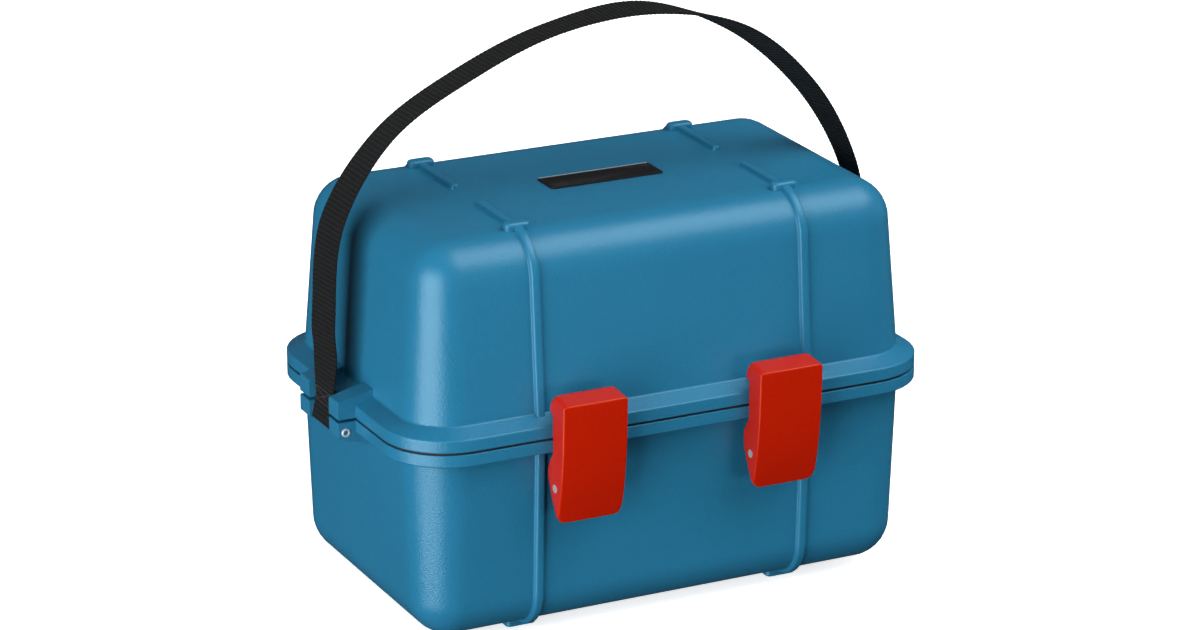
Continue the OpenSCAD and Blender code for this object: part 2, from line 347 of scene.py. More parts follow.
def bump(nodes, links, height, distance, strength=1.0, under=None):
    n = nodes.new("ShaderNodeBump")
    n.inputs["Strength"].default_value = strength
    n.inputs["Distance"].default_value = distance
    links.new(height, n.inputs["Height"])
    if under is not None:
        links.new(under, n.inputs["Normal"])
    return n.outputs["Normal"]


def scaled(colour, k):
    return tuple(min(1.0, c * k) for c in colour)


def plastic(name, colour, wear_and_highlight_colour, rough, grain, grain_depth, level=0.5, tint=(1, 1, 1)):
    """Moulded plastic: a fine spark-eroded grain, faint cloudiness, and edges paler, partly rubbed wear and
    partly a painted highlight.
    """
    m, nodes, links, shader = new_material(name)
    coords = nodes.new("ShaderNodeTexCoord").outputs["Object"]
    cloud = noise_node(nodes, links, coords, 9.0, 3.0)
    fine = noise_node(nodes, links, coords, grain, 2.0, 0.6)
    mottle = math_node(nodes, links, "ADD", math_node(nodes, links, "MULTIPLY", fine, 0.6),
                       math_node(nodes, links, "MULTIPLY", cloud, 0.4))
    clouded = mix_colour(nodes, links, map_range(nodes, links, mottle, 0.35, 0.65, 0.0, 1.0),
                         scaled(colour, 0.93), scaled(colour, 1.07))
    edge = nodes.new("ShaderNodeNewGeometry").outputs["Pointiness"]
    patchy = noise_node(nodes, links, coords, 140.0, 5.0, 0.7)
    # Edges painted paler: rubbed wear, and a painted highlight where the edge colour is much paler than the
    # plastic.
    wear_and_highlight_mask = math_node(nodes, links, "MULTIPLY", map_range(nodes, links, edge, 0.53, 0.62, 0.0, 0.45),
                       map_range(nodes, links, patchy, 0.35, 0.7, 0.25, 1.0))
    base = mix_colour(nodes, links, wear_and_highlight_mask, clouded, wear_and_highlight_colour)
    links.new(base, shader.inputs["Base Color"])
    sheen_spots = noise_node(nodes, links, coords, 60.0, 6.0, 0.65)
    links.new(map_range(nodes, links, sheen_spots, 0.3, 0.7, rough - 0.02, rough + 0.05),
              shader.inputs["Roughness"])
    links.new(bump(nodes, links, fine, grain_depth), shader.inputs["Normal"])
    shader.inputs["IOR"].default_value = 1.49
    shader.inputs["Specular IOR Level"].default_value = level
    shader.inputs["Specular Tint"].default_value = (*tint, 1)
    return m


def metal(name, colour, rough, metallic):
    m, nodes, links, shader = new_material(name)
    coords = nodes.new("ShaderNodeTexCoord").outputs["Object"]
    cloud = noise_node(nodes, links, coords, 500.0, 5.0, 0.7)
    links.new(mix_colour(nodes, links, cloud, scaled(colour, 0.8), scaled(colour, 1.1)),
              shader.inputs["Base Color"])
    links.new(map_range(nodes, links, cloud, 0.3, 0.7, rough - 0.04, rough + 0.1), shader.inputs["Roughness"])
    fine = noise_node(nodes, links, coords, 1500.0, 3.0)
    links.new(bump(nodes, links, fine, 0.00002), shader.inputs["Normal"])
    shader.inputs["Metallic"].default_value = metallic
    return m


def rubber(name, colour):
    m, nodes, links, shader = new_material(name)
    coords = nodes.new("ShaderNodeTexCoord").outputs["Object"]
    cloud = noise_node(nodes, links, coords, 80.0, 5.0, 0.6)
    links.new(mix_colour(nodes, links, cloud, scaled(colour, 0.75), scaled(colour, 1.5)),
              shader.inputs["Base Color"])
    links.new(map_range(nodes, links, cloud, 0.3, 0.7, 0.55, 0.75), shader.inputs["Roughness"])
    fine = noise_node(nodes, links, coords, 900.0, 3.0)
    links.new(bump(nodes, links, fine, 0.00004), shader.inputs["Normal"])
    return m


def foam_material(name, colour):
    """Open-cell foam: pits of two sizes, with painted shade in the pits and the rims between them paler."""
    m, nodes, links, shader = new_material(name)
    coords = nodes.new("ShaderNodeTexCoord").outputs["Object"]
    cells = nodes.new("ShaderNodeTexVoronoi")
    cells.inputs["Scale"].default_value = 950.0
    links.new(coords, cells.inputs["Vector"])
    coarse = noise_node(nodes, links, coords, 260.0, 6.0, 0.7)
    pits = math_node(nodes, links, "MULTIPLY", cells.outputs["Distance"], coarse)
    # Painted shade: darker in the pits, paler on the rims between them.
    pit_shade = map_range(nodes, links, pits, 0.08, 0.4, 0.0, 1.0)
    links.new(mix_colour(nodes, links, pit_shade, scaled(colour, 0.45), scaled(colour, 1.35)),
              shader.inputs["Base Color"])
    first = bump(nodes, links, pits, 0.0006, 0.8)
    links.new(bump(nodes, links, coarse, 0.0008, 0.5, first), shader.inputs["Normal"])
    shader.inputs["Roughness"].default_value = 0.95
    shader.inputs["Sheen Weight"].default_value = 0.15
    return m


def webbing_material(name, colour, rib_pitch, yarn_pitch):
    """Woven strap: cross ribs and lengthwise yarns, from the attributes along and across."""
    m, nodes, links, shader = new_material(name)

    def attribute(key):
        n = nodes.new("ShaderNodeAttribute")
        n.attribute_name = key
        return n.outputs["Fac"]

    along = math_node(nodes, links, "MULTIPLY", attribute("along"), 2 * math.pi / rib_pitch)
    across = math_node(nodes, links, "MULTIPLY", attribute("across"), 2 * math.pi / yarn_pitch)
    ribs = math_node(nodes, links, "SINE", along)
    yarns = math_node(nodes, links, "SINE", across)
    weave = math_node(nodes, links, "ADD", math_node(nodes, links, "MULTIPLY", ribs, yarns), ribs)
    coords = nodes.new("ShaderNodeTexCoord").outputs["Object"]
    fuzz = noise_node(nodes, links, coords, 1400.0, 3.0)
    # Painted light and shade of the ribs: crests painted lit and pale, grooves painted dark.
    lit = map_range(nodes, links, weave, -1.5, 1.5, 0.0, 1.0)
    rib_light_and_shade = mix_colour(nodes, links, lit, scaled(colour, 0.12), scaled(colour, 2.6))
    patches = noise_node(nodes, links, coords, 30.0, 4.0)
    faded = map_range(nodes, links, patches, 0.4, 0.75, 0.0, 0.2)
    links.new(mix_colour(nodes, links, faded, rib_light_and_shade, scaled(colour, 2.0)), shader.inputs["Base Color"])
    first = bump(nodes, links, weave, 0.0003, 0.8)
    links.new(bump(nodes, links, fuzz, 0.0001, 0.4, first), shader.inputs["Normal"])
    shader.inputs["Roughness"].default_value = 0.7
    shader.inputs["Specular IOR Level"].default_value = 0.13
    shader.inputs["Sheen Weight"].default_value = 0.02
    shader.inputs["Sheen Roughness"].default_value = 0.4
    return m


shell_blue = plastic("shell_blue", (0.017, 0.155, 0.282), (0.07, 0.26, 0.42), 0.215, 1100.0, 0.0002,
                     0.6, (0.6, 0.87, 1))
# The latch's edge colour, much paler than its red, paints a highlight along its edges.
latch_red = plastic("latch_red", (0.435, 0.0105, 0.001), (0.86, 0.17, 0.10), 0.215, 700.0, 0.00001,
                    0.45, (1, 0.6, 0.35))
rivet_metal = metal("rivet_metal", (0.62, 0.62, 0.62), 0.42, 0.45)
steel = metal("steel", (0.5, 0.5, 0.5), 0.38, 0.5)
rim_rubber = rubber("rim_rubber", (0.012, 0.012, 0.013))
label_black = plastic("label_black", (0.006, 0.006, 0.007), (0.05, 0.05, 0.05), 0.45, 1200.0, 0.000008)
label_rear_highlight = metal("label_rear_highlight", (0.5, 0.52, 0.54), 0.4, 0.3)
case_foam = foam_material("case_foam", (0.040, 0.040, 0.043))
strap_black = webbing_material("strap_black", (0.0049, 0.0054, 0.0058), RIB_PITCH * MM, YARN_PITCH * MM)
thread = rubber("thread", (0.028, 0.028, 0.03))


def place(piece, body, node):
    """Ride on a body and stand for a CAD node, which is hidden."""
    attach(piece, body)
    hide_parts(node)


# ---------------------------------------------------------------- shells

def corner_radius(off, draft, inner):
    """Radius of the plan's corners where the wall stands at offset off."""
    lean = (CORNER_R - EDGE_R) / draft
    if inner:
        return CORNER_R - WALL + (off + WALL) * lean
    return CORNER_R + off * (1 if off > -0.4 else lean)


def edge_arc(draft, centre_z, way, grow, steps=9):
    """(offset, corner radius, z) round the long edge, from the flat end to the wall."""
    r = EDGE_R + grow
    out = []
    for k in range(steps + 1):
        t = math.pi / 2 * (1 - k / steps)
        out.append((-draft - EDGE_R + r * math.cos(t), r * math.cos(t), centre_z + way * r * math.sin(t)))
    return out


def rings_of(profile, long=LONG, short=SHORT):
    """Outlines of the case at each (offset, corner radius, z) of the profile."""
    return [outline(HALF_X + off, HALF_Y + off, r, z, 10, long, short) for off, r, z in profile]


def flat_end(shape, off, z):
    a, b = HALF_X + off, HALF_Y + off
    shape.grid(lambda i, j: (-a + 2 * a * i / LONG, -b + 2 * b * j / SHORT, z), LONG, SHORT)


def base_wall(z, grow=0.0):
    """Offset of the base's wall at height z."""
    return grow - BASE_DRAFT * (JOINT_Z - z) / (JOINT_Z - BASE_ARC_Z)


def lid_wall(z, grow=0.0):
    """Offset of the lid's wall at height z."""
    return grow - LID_DRAFT * (z - JOINT_Z) / (LID_ARC_Z - JOINT_Z)


def with_radius(path, draft, inner=False):
    return [(off, corner_radius(off, draft, inner), z) for off, z in path]


def tub(shape, draft, arc_z, way, outer, inner):
    """One shell from its flat end out round the rim and back along the inside. outer and inner are
    (offset, z) from the long edge's arc to the joint line and back."""
    outside = edge_arc(draft, arc_z, way, 0)
    inside = edge_arc(draft, arc_z, way, -WALL)
    profile = outside[:-1] + with_radius(outer, draft) + with_radius(inner, draft, True) + inside[-2::-1]
    shape.loft(rings_of(profile), False, False)
    for off, r, z in (outside[0], inside[0]):
        flat_end(shape, off, z)


def base_tub(shape):
    outer = rounded([
        (-BASE_DRAFT, BASE_ARC_Z, 0), (base_wall(60), 60, 0), (base_wall(BASE_BAND_Z), BASE_BAND_Z, 1.6),
        (RIM_OUT, BASE_BAND_Z, 1.1), (RIM_OUT, RIM_TOP + 0.2, 0.4), (TONGUE_OFF, RIM_TOP + 0.2, 0.3),
        (TONGUE_OFF, TONGUE_Z, 0.5), (-WALL, TONGUE_Z, 0.5), (-WALL, JOINT_Z, 0)
    ])
    inner = [(base_wall(z, -WALL), z) for z in (90, 60, BASE_ARC_Z)]
    tub(shape, BASE_DRAFT, BASE_ARC_Z, -1, outer, inner)


def lid_tub(shape):
    outer = rounded([
        (-LID_DRAFT, LID_ARC_Z, 0), (lid_wall(170), 170, 0), (lid_wall(FLANGE_Z + 0.6), FLANGE_Z + 0.6, 1.6),
        (RIM_OUT, LID_BAND_Z, 1.3), (RIM_OUT, LID_RIM - 0.2, 0.4), (RECESS_OFF, LID_RIM - 0.2, 0.3),
        (RECESS_OFF, RECESS_Z, 0.2), (lid_wall(RECESS_Z, -WALL), RECESS_Z, 0.3),
        (lid_wall(140, -WALL), 140, 0)
    ])
    inner = [(lid_wall(z, -WALL), z) for z in (170, LID_ARC_Z)]
    tub(shape, LID_DRAFT, LID_ARC_Z, 1, outer, inner)


# Half of a rib's section, (across, height over the surface), with a small fillet at its foot
RIB_SECTION = [
    (3.6, -0.9), (3.5, 0.0), (2.95, 0.12), (2.66, 0.45), (2.55, 1.1), (2.42, 1.8), (2.1, 2.3), (1.5, 2.55),
    (0.7, 2.6)
]
RIB_TIP = 2.5


def rib_line(draft, arc_z, flat_z, way, last_z, wall_of):
    """Points and outward normals, in the YZ plane, of a rib's foot from its inner end to the rim."""
    flat_y = HALF_Y - draft - EDGE_R
    first = RIB_START + RIB_TIP
    line = []
    for k in range(9):
        line.append(((first + (flat_y - first) * k / 8, flat_z), (0, way)))
    for k in range(1, 14):
        t = math.pi / 2 * k / 13
        normal = (math.sin(t), way * math.cos(t))
        line.append(((flat_y + EDGE_R * normal[0], arc_z + EDGE_R * normal[1]), normal))
    lean = math.atan(draft / abs(arc_z - JOINT_Z))
    for k in range(1, 9):
        z = arc_z + (last_z - arc_z) * k / 8
        line.append(((HALF_Y + wall_of(z), z), (math.cos(lean), way * math.sin(lean))))
    return line


def rib(shape, x, facing, line):
    """A rib that rises from a rounded tip on the flat and runs along line. facing is -1 or 1, for y."""
    section = [(-u, h) for u, h in RIB_SECTION] + RIB_SECTION[::-1]
    rings = []

    def ring(foot, normal, width, height):
        return [(x + u * width, facing * (foot[0] + normal[0] * h * height), foot[1] + normal[1] * h * height)
                for u, h in section]

    foot, normal = line[0]
    for k in range(1, 7):
        t = math.pi / 2 * k / 7
        tip = (foot[0] - RIB_TIP * math.cos(t), foot[1])
        rings.append(ring(tip, normal, math.sin(t), math.sin(t) ** 0.4))
    rings.extend(ring(foot, normal, 1, 1) for foot, normal in line)
    shape.loft(rings)


def block(shape, x, y, root, tip, a, b, r, bevel):
    """A stacking pad or a foot: a low block with a rounded top edge."""
    way = 1 if tip > root else -1
    rings = [small_outline(a, b, r, root, (x, y)), small_outline(a, b, r, tip - way * bevel, (x, y))]
    for k in range(1, 5):
        t = math.pi / 2 * k / 4
        inset = bevel * (1 - math.cos(t))
        z = tip - way * bevel * (1 - math.sin(t))
        rings.append(small_outline(a - inset, b - inset, r - inset * 0.6, z, (x, y)))
    shape.loft(rings)


def in_xz(u, v, w):
    return Vector((u, w, v))


def in_yz(x):
    return lambda u, v, w: Vector((x + w, u, v))


# Strap lugs: the two beside each strap end stand between these values of y
LUG_Y = (14.0, 27.0)


def lugs(shape, way):
    tip_h, root_h, end = 10.7, 16.5, BASE_HIGH.x
    near = JOINT_Z + way * (JOINT_Z - RIM_TOP)
    root = ROOT + HALF_X - HALF_Y
    for x in (-1, 1):
        side = rounded([
            (x * root, near, 0), (x * end, near, 0.6), (x * end, JOINT_Z + way * tip_h, 1.8),
            (x * root, JOINT_Z + way * root_h, 0)
        ], 4, True)
        for y in (-1, 1):
            shape.prism(side, in_xz, *sorted((y * LUG_Y[0], y * LUG_Y[1])), 1.4)


HINGE_X = 75.0
HINGE_R = 6.0
KNUCKLE_L = 12.0
LID_KNUCKLE_L = 15.4
KNUCKLE_GAP = 0.3


def knuckle(shape, x, width, way):
    """A hinge eye with its web to the rim, on the base (way -1) or on the lid (way 1)."""
    web = RIM_TOP if way < 0 else LID_RIM + 0.3
    start = math.pi - math.asin((web - JOINT_Z) / HINGE_R)
    stop = -math.pi / 2 if way < 0 else math.pi / 2 + 2 * math.pi
    steps = 22
    angles = [start + (stop - start) * k / steps for k in range(steps + 1)]
    arc = [(HINGE.y + HINGE_R * math.cos(t), JOINT_Z + HINGE_R * math.sin(t)) for t in angles]
    root = HALF_Y + RIM_OUT - 2
    side = [(root, web)] + arc + [(root, web + way * 5.5)]
    shape.prism(side, in_yz(x), -width / 2, width / 2, 0.5)


def knuckles(shape, way):
    """Two knuckles of the base on each side of one of the lid, at each hinge."""
    for side in (-1, 1):
        if way > 0:
            knuckle(shape, side * HINGE_X, LID_KNUCKLE_L, way)
            continue
        for end in (-1, 1):
            off = LID_KNUCKLE_L / 2 + KNUCKLE_GAP + KNUCKLE_L / 2
            knuckle(shape, side * HINGE_X + end * off, KNUCKLE_L, way)


# Latch ears and keepers, across the latch: each ear between two distances, and half a keeper
EAR_X = (8.2, 12.2)
EAR_R = 4.0
KEEPER_HALF = 15.0


def ears(shape):
    """Two ears under the base's rim for each latch's pivot pin."""
    arc = [(PIVOT.y + EAR_R * math.cos(math.radians(t)), PIVOT.z + EAR_R * math.sin(math.radians(t)))
           for t in range(110, 261, 15)]
    side = [(-ROOT, BASE_BAND_Z), (PIVOT.y + 1, BASE_BAND_Z - 1.0)] + arc + [(-ROOT, JOINT_Z - 27)]
    for x in (-LATCH_X, LATCH_X):
        for end in (-1, 1):
            shape.prism(side, in_yz(x), *sorted((end * EAR_X[0], end * EAR_X[1])), 0.4, 2)


def keepers(shape):
    """The pads on the lid's rim that the latch hooks pull on."""
    front = -(HALF_Y + RIM_OUT)
    side = [(front, LID_RIM), (-ROOT, LID_RIM), (-ROOT, KEEPER_Z), (front, KEEPER_Z)]
    for x in (-LATCH_X, LATCH_X):
        shape.prism(side, in_yz(x), -KEEPER_HALF, KEEPER_HALF, 0.9)


def ribs_and_pads(shape, draft, arc_z, flat_z, way, last_z, wall_of, tip):
    """The four ribs of a shell, and the pad or foot that reaches to tip on each."""
    line = rib_line(draft, arc_z, flat_z, way, last_z, wall_of)
    for x in (-RIB_X, RIB_X):
        for y in (-1, 1):
            rib(shape, x, y, line)
            block(shape, x, y * (PAD_Y - 1.5), flat_z - way * 8, tip, *PAD_SIZE[way])


def base_shell():
    shape = Shape()
    base_tub(shape)
    ribs_and_pads(shape, BASE_DRAFT, BASE_ARC_Z, FOOT_H, -1, BASE_BAND_Z + 2, base_wall, BASE_LOW.z)
    lugs(shape, -1)
    knuckles(shape, -1)
    ears(shape)
    place(shape.make("base_case", [shell_blue]), "base", "base_shell")


def lid_shell():
    shape = Shape()
    lid_tub(shape)
    ribs_and_pads(shape, LID_DRAFT, LID_ARC_Z, LID_TOP, 1, FLANGE_Z - 2, lid_wall, LID_HIGH.z)
    lugs(shape, 1)
    knuckles(shape, 1)
    keepers(shape)
    place(shape.make("lid_case", [shell_blue]), "lid", "lid_shell")


def gasket():
    """Rubber ring with a bulging outer edge."""
    shape = Shape()
    low, high = GASKET_LOW.z + 0.02, GASKET_HIGH.z
    mid, half = (low + high) / 2, (high - low) / 2
    bulge = 0.6
    outer, inner = RIM_OUT - GASKET_IN - bulge, TONGUE_OFF + 0.6
    path = [(inner, high), (outer, high)]
    path += [(outer + bulge * math.cos(t), mid + half * math.sin(t))
             for t in (math.radians(a) for a in range(60, -61, -30))]
    path += [(outer, low), (inner, low)]
    rings = rings_of([(off, CORNER_R + off, z) for off, z in path])
    shape.loft(rings + [rings[0]], False, False)
    place(shape.make("seal", [rim_rubber]), "base", "rim_gasket")


# ---------------------------------------------------------------- turned pins

ROUND_STEPS = 40
# Radii of the pins, and the rivet's shank, head thickness and share of the CAD head's radius
HINGE_PIN_R, PIVOT_PIN_R, LEVER_PIN_R = 2.0, 1.6, 2.4
SHANK_R, HEAD_T, HEAD_SHARE = 2.2, 0.8, 0.88


def turned(name, at, axis, profile, material):
    """A round piece. profile is (distance along axis from at, radius)."""
    shape = Shape()
    axis = Vector(axis)
    u = Vector((0, 0, 1))
    v = axis.cross(u)
    angles = [2 * math.pi * k / ROUND_STEPS for k in range(ROUND_STEPS)]
    shape.loft([[at + axis * d + u * (r * math.cos(t)) + v * (r * math.sin(t)) for t in angles]
                for d, r in profile])
    return shape.make(name, [material])


def pin_profile(length, r, chamfer=0.3):
    half = length / 2
    return [(-half, r - chamfer), (-half + chamfer * 0.3, r - chamfer * 0.3), (-half + chamfer, r),
            (half - chamfer, r), (half - chamfer * 0.3, r - chamfer * 0.3), (half, r - chamfer)]


def rivet_profile(half, head_r):
    """A hollow rivet: both heads are rounded rings round a shallow dimple."""
    head = [
        (-1.1, 0.3), (-1.1, 1.0), (-0.95, 1.25), (-0.35, 1.32), (-0.1, 1.5), (0.0, 1.8),
        (-0.04, head_r - 0.55), (-0.2, head_r - 0.18), (-0.42, head_r), (-HEAD_T - 0.4, head_r),
        (-HEAD_T - 0.5, SHANK_R)
    ]
    near = [(half + d, rr) for d, rr in head]
    return [(-d, rr) for d, rr in near] + near[::-1]


def pins():
    head_r = HEAD_SHARE * (RIVET_HIGH.z - RIVET_LOW.z) / 2
    for side, x in SIDES.items():
        centre = Vector((x * STRAP_X, 0, RIVET_Z))
        rivet = turned("rivet_" + side, centre, (0, 1, 0), rivet_profile(RIVET_HIGH.y, head_r), rivet_metal)
        place(rivet, "base", "strap_pin_" + side)
        for name, node, r, body, at in (
            ("hinge_rod_", "hinge_pin_", HINGE_PIN_R, "base", HINGE),
            ("link_rod_", "latch_pivot_pin_", PIVOT_PIN_R, "base", PIVOT),
            ("lever_rod_", "latch_lever_pin_", LEVER_PIN_R, "lever_" + side, LEVER_AXIS),
        ):
            low, high = box_mm(node + side)
            middle = Vector(((low.x + high.x) / 2, at.y, at.z))
            rod = turned(name + side, middle, (1, 0, 0), pin_profile(high.x - low.x, r), steel)
            place(rod, body, node + side)


# ---------------------------------------------------------------- latches

PLATE = 2.5
LEVER_HALF = (LEVER_HIGH.x - LEVER_LOW.x) / 2
LEVER_BOTTOM = LEVER_LOW.z
LEVER_EDGE = 1.0
HOOK_Z = KEEPER_Z + 0.2
# The lever's front face, (y, z), between its top and bottom edges
LEVER_FRONT = [(-116.5, 130.0), (-115.6, 114.0), (-113.6, 97.0), (-110.9, 84.0)]
# Its rear edge from the bottom up to the hook, as (y, z, corner radius)
LEVER_REAR = [
    (-105.8, 75.6, 1.1), (-101.6, 86.0, 6.0), (-98.6, 92.5, 6.0), (-96.6, 98.0, 5.0), (-96.3, 104.5, 5.0),
    (-99.6, 110.6, 4.0), (-102.4, 113.9, 2.0), (-102.4, HOOK_Z, 0.3), (-99.2, HOOK_Z, 1.1),
    (-99.2, 148.4, 5.2)
]
# The rounding of the lower corners as seen from the front: its height, and its reach in from the side
BOTTOM_R, BOTTOM_IN = 6.5, 4.7
# The rounding of the upper corners: its reach in from the side, and its depth at the front and the rear
TOP_IN, TOP_FRONT, TOP_REAR = 4.4, 1.2, 4.5


def lever_side():
    """Side outline (y, z) of the lever."""
    front = spline([(-117.0, 144.8)] + LEVER_FRONT + [(-108.4, LEVER_BOTTOM)], 6)
    last = len(front) - 1
    corners = [(p.x, p.y, 1.1 if i in (0, last) else 0.0) for i, p in enumerate(front)]
    return rounded(corners + LEVER_REAR, 4, True)


def inset_outline(points, d):
    """The closed outline moved inwards by d."""
    n = len(points)
    ahead = points[1:] + points[:1]
    area = sum(a[0] * b[1] - b[0] * a[1] for a, b in zip(points, ahead))
    sign = 1 if area > 0 else -1
    out = []
    for i in range(n):
        a, b, c = Vector(points[i - 1]), Vector(points[i]), Vector(points[(i + 1) % n])
        e, f = (b - a).normalized(), (c - b).normalized()
        m = Vector((-(e.y + f.y), e.x + f.x))
        if m.length < 1e-6:
            out.append(tuple(b))
            continue
        m.normalize()
        k = d * sign / max(0.5, m.dot(Vector((-e.y, e.x))))
        out.append(tuple(b + m * k))
    return out


def clamp(value):
    return min(1.0, max(0.0, value))


def quarter_round(t):
    """Drop of a quarter round of unit size, from 0 at t = 0 to 1 at t = 1."""
    return 1 - math.sqrt(max(0.0, 1 - t * t))


def lever_solid():
    """The lever without its hollow: sections across it, from one side to the other."""
    shape = Shape()
    side = lever_side()
    stations = []
    for t in (90, 65, 40, 20, 0):
        inset = LEVER_EDGE * (1 - math.cos(math.radians(t)))
        stations.append((LEVER_HALF - LEVER_EDGE * (1 - math.sin(math.radians(t))), inset))
    stations += [(LEVER_HALF - d, 0.0) for d in (1.3, 1.9, 2.7, 3.8, 5.5, 9.0, 14.0)]
    stations = [(-x, inset) for x, inset in stations] + [(0.0, 0.0)] + stations[::-1]
    rings = []
    for x, inset in stations:
        from_side = LEVER_HALF - abs(x)
        lift = BOTTOM_R * quarter_round(max(0.0, BOTTOM_IN - from_side) / (BOTTOM_IN + 0.15))
        drop = quarter_round(max(0.0, TOP_IN - from_side) / (TOP_IN + 0.1))
        ring = []
        for y, z in inset_outline(side, inset):
            if z < LEVER_BOTTOM + BOTTOM_R:
                z = LEVER_BOTTOM + lift + (z - LEVER_BOTTOM) * (1 - lift / BOTTOM_R)
            depth = TOP_FRONT + (TOP_REAR - TOP_FRONT) * clamp((y + 116.0) / 10.0)
            z -= depth * drop * clamp((z - 138.0) / 4.0)
            y += 0.45 * (x / LEVER_HALF) ** 2 * clamp((-105.0 - y) / 8.0)
            ring.append((x, y, z))
        rings.append(ring)
    shape.loft(rings)
    return shape


def lever_cavity():
    """What is cut out of the lever between its side plates, open at the rear and below the hook."""
    shape = Shape()
    low, behind = LEVER_BOTTOM - 4, -85.0
    front = spline([(-116.7, 137.0)] + LEVER_FRONT + [(-107.4, low)], 4)
    side = [(p.x + PLATE, min(p.y, HOOK_Z)) for p in front] + [(behind, low), (behind, HOOK_Z)]
    shape.prism(side, in_yz(0), -(LEVER_HALF - PLATE), LEVER_HALF - PLATE, 0.001, 1)
    return shape


def cut(solid, tool):
    """Take the tool's shape out of the solid, and delete the tool."""
    modifier = solid.modifiers.new("cut", "BOOLEAN")
    modifier.operation = "DIFFERENCE"
    modifier.solver = "EXACT"
    modifier.object = tool
    bpy.context.view_layer.update()
    done = bpy.data.meshes.new_from_object(solid.evaluated_get(bpy.context.evaluated_depsgraph_get()))
    solid.modifiers.clear()
    solid.data = done
    bpy.data.objects.remove(tool)


def lever(side, x):
    solid = lever_solid().make("lever_" + side + "_shell", [latch_red])
    solid.modifiers.clear()
    tool = lever_cavity().make("tool", [latch_red])
    tool.modifiers.clear()
    cut(solid, tool)
    shade(solid, 30)
    solid.data.transform(Matrix.Translation((x * LATCH_X * MM, 0, 0)))
    place(solid, "lever_" + side, "latch_lever_" + side)


def link(side):
    """The CAD's link, in the latch's plastic and with its edges broken."""
    node = frame["nodes"]["latch_link_" + side]
    node.data.materials.clear()
    node.data.materials.append(latch_red)
    weld = node.modifiers.new("weld", "WELD")
    weld.merge_threshold = 0.00001
    edge = node.modifiers.new("edge", "BEVEL")
    edge.width = 0.0004
    edge.segments = 2
    edge.limit_method = "ANGLE"
    edge.angle_limit = math.radians(40)


def latches():
    for side, x in SIDES.items():
        lever(side, x)
        link(side)


# ---------------------------------------------------------------- label

def label():
    """A blank black plate with a frame, whose top along the rear edge is pale metal: a painted highlight."""
    shape = Shape()
    a, b = (LABEL_HIGH.x - LABEL_LOW.x) / 2, (LABEL_HIGH.y - LABEL_LOW.y) / 2
    low, high = LABEL_LOW.z - 0.3, LABEL_HIGH.z
    frame_w = 1.35
    # inset from the plate's outline, and z
    steps = (
        (0.0, low), (0.0, high - 0.4), (0.12, high - 0.12), (0.35, high), (frame_w, high - 0.01),
        (1.5, high - 0.08), (1.8, high - 0.08)
    )
    shape.loft([small_outline(a - inset, b - inset, 1.4 - inset * 0.5, z, (0, 0)) for inset, z in steps])
    obj = shape.make("plate", [label_black, label_rear_highlight])
    # Painted highlight: the frame's top along the rear edge takes the pale metal.
    for face in obj.data.polygons:
        y, z = face.center.y / MM, face.center.z / MM
        if face.normal.z > 0.3 and y > b - frame_w - 0.01 and z > high - 0.1:
            face.material_index = 1
    place(obj, "lid", "label_plate")


# ---------------------------------------------------------------- foam

# Gap between the foam and the shells, and the foam's edge radius
FOAM_GAP = 0.5
SOFT_R = 3.0
# The cradle's pockets: their lengths along x with the web between them, half width and corner radius
POCKETS = (216.0, 36.0)
POCKET_WEB = 12.0
POCKET_HALF, POCKET_R = 64.0, 12.0
# The lid foam's peaks: height and spacing
WAVE, WAVE_PITCH = 7.0, 30.0


def foam_profile(draft, arc_z, way, levels):
    """(offset, corner radius, z) just inside a shell, at the given heights."""
    profile = []
    r_in = EDGE_R - WALL - FOAM_GAP
    for z in levels:
        depth = way * (z - arc_z)
        if depth <= 0:
            wall = base_wall(z) if way < 0 else lid_wall(z)
            off = wall - WALL - FOAM_GAP
            r = corner_radius(wall, draft, False) - WALL - FOAM_GAP
        else:
            r = math.sqrt(max(0.0, r_in * r_in - depth * depth))
            off = -draft - EDGE_R + r
        profile.append((off, r, z))
    return profile


def cap_with_holes(shape, outer, holes):
    """A flat face with the outline outer and the given holes."""
    loops = [outer] + holes
    triangles = tessellate_polygon(loops)
    shape.add([p for loop in loops for p in loop], [list(t) for t in triangles])


def foam_cradle():
    """The block round the instrument, with its two pockets through to the floor pad."""
    shape = Shape()
    low, high = CRADLE_LOW.z, CRADLE_HIGH.z
    edge = [math.pi / 2 * k / 4 for k in range(5)]
    profile = foam_profile(BASE_DRAFT, BASE_ARC_Z, -1, (low, 60, 85, high - SOFT_R))
    off, r, z = profile[-1]
    for t in edge[1:]:
        inset = SOFT_R * (1 - math.cos(t))
        profile.append((off - inset, r - inset, z + SOFT_R * math.sin(t)))
    rings = rings_of(profile)
    shape.loft(rings, False, False)
    start = -(sum(POCKETS) + POCKET_WEB) / 2
    top_holes, bottom_holes = [], []
    for length in POCKETS:
        centre = (start + length / 2, 0)
        start += length + POCKET_WEB
        steps = [(SOFT_R * (1 - math.sin(t)), high - SOFT_R + SOFT_R * math.cos(t)) for t in edge]
        hole = [outline(length / 2 + flare, POCKET_HALF + flare, POCKET_R + flare, z, 6, 12, 10, centre)
                for flare, z in steps + [(0.0, low)]]
        shape.loft(hole, False, False)
        top_holes.append(hole[0])
        bottom_holes.append(hole[-1])
    cap_with_holes(shape, rings[-1], top_holes)
    cap_with_holes(shape, rings[0], bottom_holes)
    finish_foam(shape, "cradle_foam", "base", "foam_cradle")


def foam_floor():
    """The pad under the instrument, on the base's rounded floor."""
    shape = Shape()
    low, high = FLOOR_LOW.z + FOAM_GAP, FLOOR_HIGH.z
    levels = [low, low + 1.5, low + 4, low + 8, low + 14, high - 2]
    shape.loft(rings_of(foam_profile(BASE_DRAFT, BASE_ARC_Z, -1, levels)))
    finish_foam(shape, "floor_foam", "base", "foam_floor")


